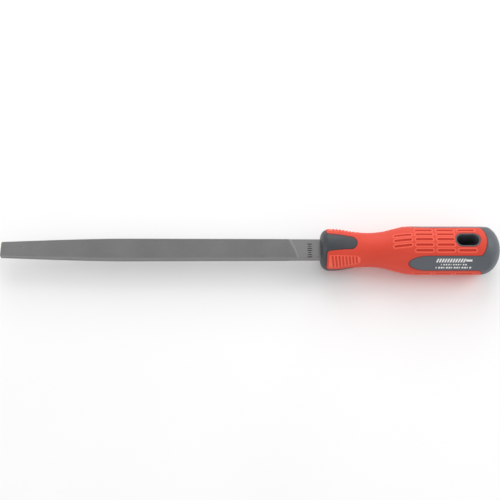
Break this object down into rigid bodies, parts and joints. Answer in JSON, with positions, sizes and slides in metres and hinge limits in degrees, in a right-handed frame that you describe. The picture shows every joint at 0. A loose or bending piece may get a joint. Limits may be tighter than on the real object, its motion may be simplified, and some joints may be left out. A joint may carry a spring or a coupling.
{
  "type": "flat file",
  "caption": "Flat hand file for metalwork: a tapered steel blade on a moulded two-material handle with a soft ribbed grip and a slotted hanging hole in the butt.",
  "frame": {"origin": "on the tool's axis, where the blade's shoulders meet the handle's front face", "axes": "+X from the blade's point to the handle's butt, +Z normal to the blade's broad faces and along the hanging hole, +Y across the blade"},
  "size_m": [0.312, 0.0308, 0.0298],
  "materials": {
    "blade_steel": "cut teeth over ground, hardened steel",
    "socket_plastic": "as moulded",
    "core_plastic": "fine satin",
    "grip_rubber": "soft satin"
  },
  "bodies": {
    "root": {"file_blade": "blade_steel", "tang_socket": "socket_plastic", "handle_core": "core_plastic", "grip_sleeve": "grip_rubber"}
  },
  "joints": []
}
